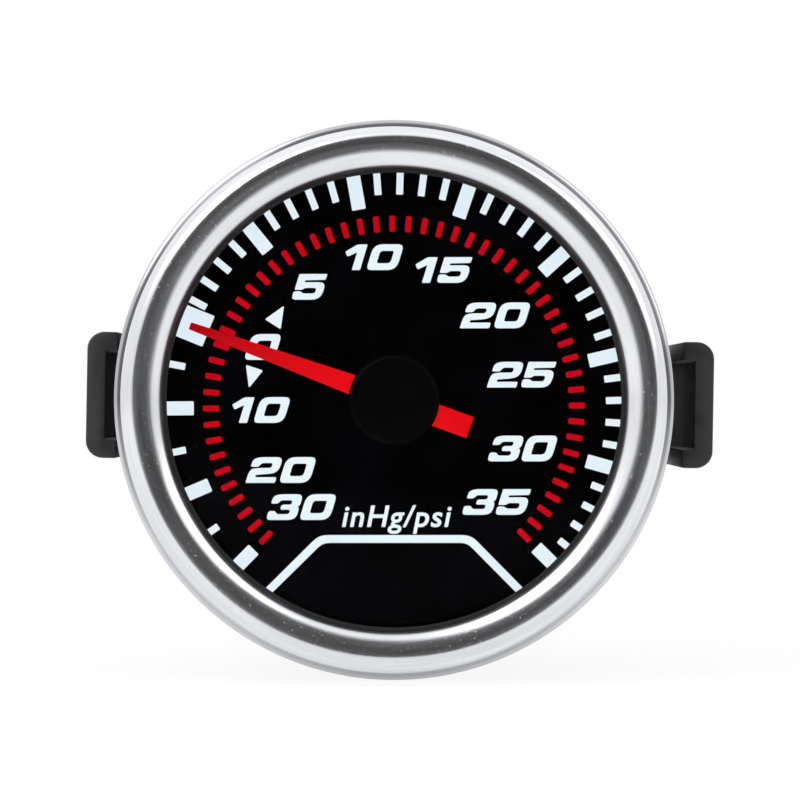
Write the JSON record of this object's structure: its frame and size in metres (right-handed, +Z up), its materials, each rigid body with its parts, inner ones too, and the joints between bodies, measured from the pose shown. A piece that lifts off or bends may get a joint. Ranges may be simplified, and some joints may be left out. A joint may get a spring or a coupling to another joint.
{
  "type": "boost gauge",
  "caption": "Round panel-mount boost and vacuum gauge: bezel, lens, dial, sprung pointer on a geared pressure-tube movement, hose nipple, clamp bracket on two studs with thumb nuts.",
  "frame": {"origin": "centre of the case, in the plane of the bezel's rear face, which rests on the panel", "axes": "+Y rearwards along the case's axis, away from the dial; +Z up the dial; +X to the right as the dial is read"},
  "size_m": [0.0691, 0.0692, 0.06],
  "materials": {
    "satin_bezel": "satin",
    "case_black": "matte",
    "bracket_black": "matte",
    "black_rubber": "matte",
    "smoked_glass": "gloss",
    "dial_black": "matte",
    "clear_acrylic": "gloss",
    "board_green": "satin",
    "lamp_white": "gloss",
    "print_white": "matte",
    "print_red": "matte",
    "pointer_red": "satin",
    "cap_black": "satin",
    "steel": "satin",
    "brass": "satin",
    "spring_bronze": "satin"
  },
  "bodies": {
    "gauge": {"housing": "case_black", "bezel": "satin_bezel", "lens_gasket": "black_rubber", "lens": "smoked_glass", "spacer_ring": "case_black", "dial_plate": "dial_black", "light_guide": "clear_acrylic", "lamp_board": "board_green", "lamps": "lamp_white", "board_screws": "steel", "front_plate": "brass", "back_plate": "brass", "pillars": "brass", "plate_screws": "steel", "bushes": "spring_bronze", "bourdon_tube": "spring_bronze", "socket_block": "brass", "block_screws": "steel", "port_nut": "brass", "hose_fitting": "brass", "grommet": "black_rubber", "studs": "steel"},
    "pointer": {"pointer": "pointer_red", "hub_cap": "cap_black", "pointer_shaft": "steel", "pinion": "brass", "collet": "brass", "hairspring": "spring_bronze"},
    "sector": {"sector_gear": "brass", "sector_arbor": "steel", "link_pin": "steel"},
    "link": {"link_rod": "steel"},
    "tube_end": {"tube_tip": "brass"},
    "clamp": {"bracket": "bracket_black", "spring_washers": "steel"},
    "left_nut": {"left_nut": "brass"},
    "right_nut": {"right_nut": "brass"}
  },
  "joints": [
    {"name": "sector_swing", "type": "hinge", "parent": "gauge", "child": "sector", "pos_m": [0.01233, 0.0195, -0.00801], "axis": [0, 1, 0], "range_deg": [-34.17, 10.84]},
    {"name": "pointer_turn", "type": "hinge", "parent": "gauge", "child": "pointer", "pos_m": [0, 0, 0], "axis": [0, 1, 0], "range_deg": [-65.02, 205.02], "deforming": ["hairspring"]},
    {"name": "link_turn", "type": "hinge", "parent": "sector", "child": "link", "pos_m": [0.01723, 0.0198, -0.00902], "axis": [0, 1, 0], "range_deg": [-10.84, 34.17]},
    {"name": "tube_lift", "type": "slide", "parent": "gauge", "child": "tube_end", "axis": [0, 0, 1], "range_m": [-0.00092, 0.00291], "stiffness_N_per_m": 840, "deforming": ["bourdon_tube"]},
    {"name": "clamp_slide", "type": "slide", "parent": "gauge", "child": "clamp", "axis": [0, 1, 0], "range_m": [-0.0082, 0.02]},
    {"name": "left_nut_turn", "type": "hinge", "parent": "clamp", "child": "left_nut", "pos_m": [-0.017, 0.053, 0], "axis": [0, 1, 0], "continuous": true},
    {"name": "right_nut_turn", "type": "hinge", "parent": "clamp", "child": "right_nut", "pos_m": [0.017, 0.053, 0], "axis": [0, 1, 0], "continuous": true}
  ],
  "couplings": [
    {"joint": "sector_swing", "follows": "tube_lift", "rad_per_m": -205.13},
    {"joint": "link_turn", "follows": "tube_lift", "rad_per_m": 205.13},
    {"joint": "pointer_turn", "follows": "tube_lift", "rad_per_m": 1230.8}
  ]
}
